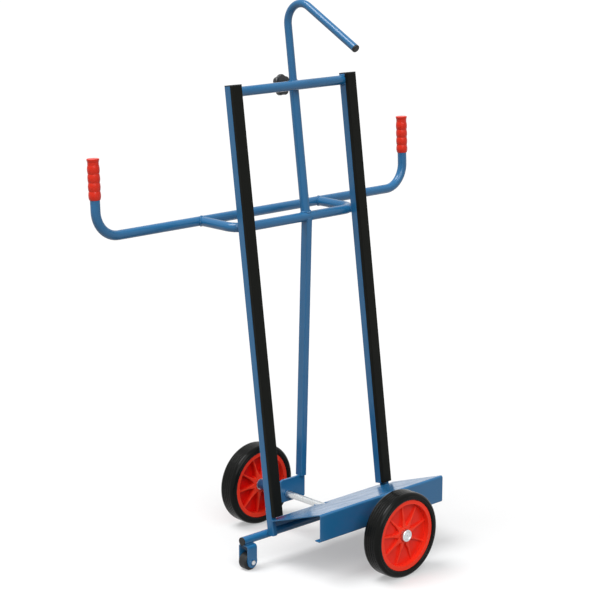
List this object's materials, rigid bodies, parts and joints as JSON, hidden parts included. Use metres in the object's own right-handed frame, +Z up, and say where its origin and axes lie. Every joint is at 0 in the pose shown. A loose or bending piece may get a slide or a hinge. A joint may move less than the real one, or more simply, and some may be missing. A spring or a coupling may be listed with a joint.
{
  "type": "drywall cart",
  "caption": "Leaning tube cart for carrying sheets of board on edge: folded sheet deck, big side wheels, small support rollers, push handles and a clamped swivelling hook.",
  "frame": {"origin": "on the floor, midway between the handlebar arms and midway between the two tyres' outer faces", "axes": "+X along the cart, +Y from the loading side to the user's side, +Z up"},
  "size_m": [1.2574, 0.67, 1.6003],
  "materials": {
    "blue_paint": "powder coat",
    "black_rubber": "matt",
    "black_plastic": "moulded",
    "red_grip": "dip moulded",
    "red_plastic": "moulded",
    "tyre": "matt",
    "zinc": "zinc plated"
  },
  "bodies": {
    "frame": {"left_upright": "blue_paint", "right_upright": "blue_paint", "top_crossbar": "blue_paint", "clamp_sleeve": "blue_paint", "clamp_nut": "blue_paint", "handle_loop": "blue_paint", "handlebar": "blue_paint", "rear_strut": "blue_paint", "axle_plate": "blue_paint", "deck": "blue_paint", "axle_saddle": "blue_paint", "front_spacer": "blue_paint", "rear_spacer": "blue_paint", "roller_tube": "blue_paint", "left_fork": "blue_paint", "right_fork": "blue_paint", "left_rubber_strip": "black_rubber", "right_rubber_strip": "black_rubber", "left_upright_cap": "black_plastic", "right_upright_cap": "black_plastic", "left_tube_cap": "black_plastic", "right_tube_cap": "black_plastic", "left_grip": "red_grip", "right_grip": "red_grip", "axle": "zinc", "axle_washers": "zinc", "front_axle_cap": "zinc", "rear_axle_cap": "zinc", "left_roller_bolt": "zinc", "right_roller_bolt": "zinc", "left_roller_nut": "zinc", "right_roller_nut": "zinc"},
    "front_wheel": {"front_rim": "red_plastic", "front_tyre": "tyre", "front_wheel_bushes": "zinc"},
    "rear_wheel": {"rear_rim": "red_plastic", "rear_tyre": "tyre", "rear_wheel_bushes": "zinc"},
    "left_support_roller": {"left_roller": "black_rubber", "left_roller_bush": "zinc"},
    "right_support_roller": {"right_roller": "black_rubber", "right_roller_bush": "zinc"},
    "hook_guide": {"hook_guide_plug": "black_plastic"},
    "hook": {"hook_tube": "blue_paint", "hook_end_cap": "black_plastic"},
    "clamp_screw": {"knob_screw": "zinc"},
    "knob": {"star_knob": "black_plastic"}
  },
  "joints": [
    {"name": "front_wheel_spin", "type": "hinge", "parent": "frame", "child": "front_wheel", "pos_m": [-0.023, -0.305, 0.125], "axis": [0, 1, 0], "continuous": true},
    {"name": "rear_wheel_spin", "type": "hinge", "parent": "frame", "child": "rear_wheel", "pos_m": [-0.023, 0.305, 0.125], "axis": [0, 1, 0], "continuous": true},
    {"name": "left_roller_spin", "type": "hinge", "parent": "frame", "child": "left_support_roller", "pos_m": [-0.308, 0.02685, 0.025], "axis": [0, 1, 0], "continuous": true},
    {"name": "right_roller_spin", "type": "hinge", "parent": "frame", "child": "right_support_roller", "pos_m": [0.308, 0.02685, 0.025], "axis": [0, 1, 0], "continuous": true},
    {"name": "hook_slide", "type": "slide", "parent": "frame", "child": "hook_guide", "axis": [0, 0.134, 0.991], "range_m": [-0.055, 0.19]},
    {"name": "hook_swivel", "type": "hinge", "parent": "hook_guide", "child": "hook", "pos_m": [0.037, 0.20149, 1.35455], "axis": [0, 0.134, 0.991], "continuous": true},
    {"name": "clamp_screw_travel", "type": "slide", "parent": "frame", "child": "clamp_screw", "axis": [0, 0.991, -0.134], "range_m": [0, 0.003]},
    {"name": "knob_turn", "type": "hinge", "parent": "clamp_screw", "child": "knob", "pos_m": [0.037, 0.20149, 1.35455], "axis": [0, 0.991, -0.134], "range_deg": [0, 720]}
  ],
  "couplings": [
    {"joint": "clamp_screw_travel", "follows": "knob_turn", "m_per_rad": 0.00023873}
  ]
}
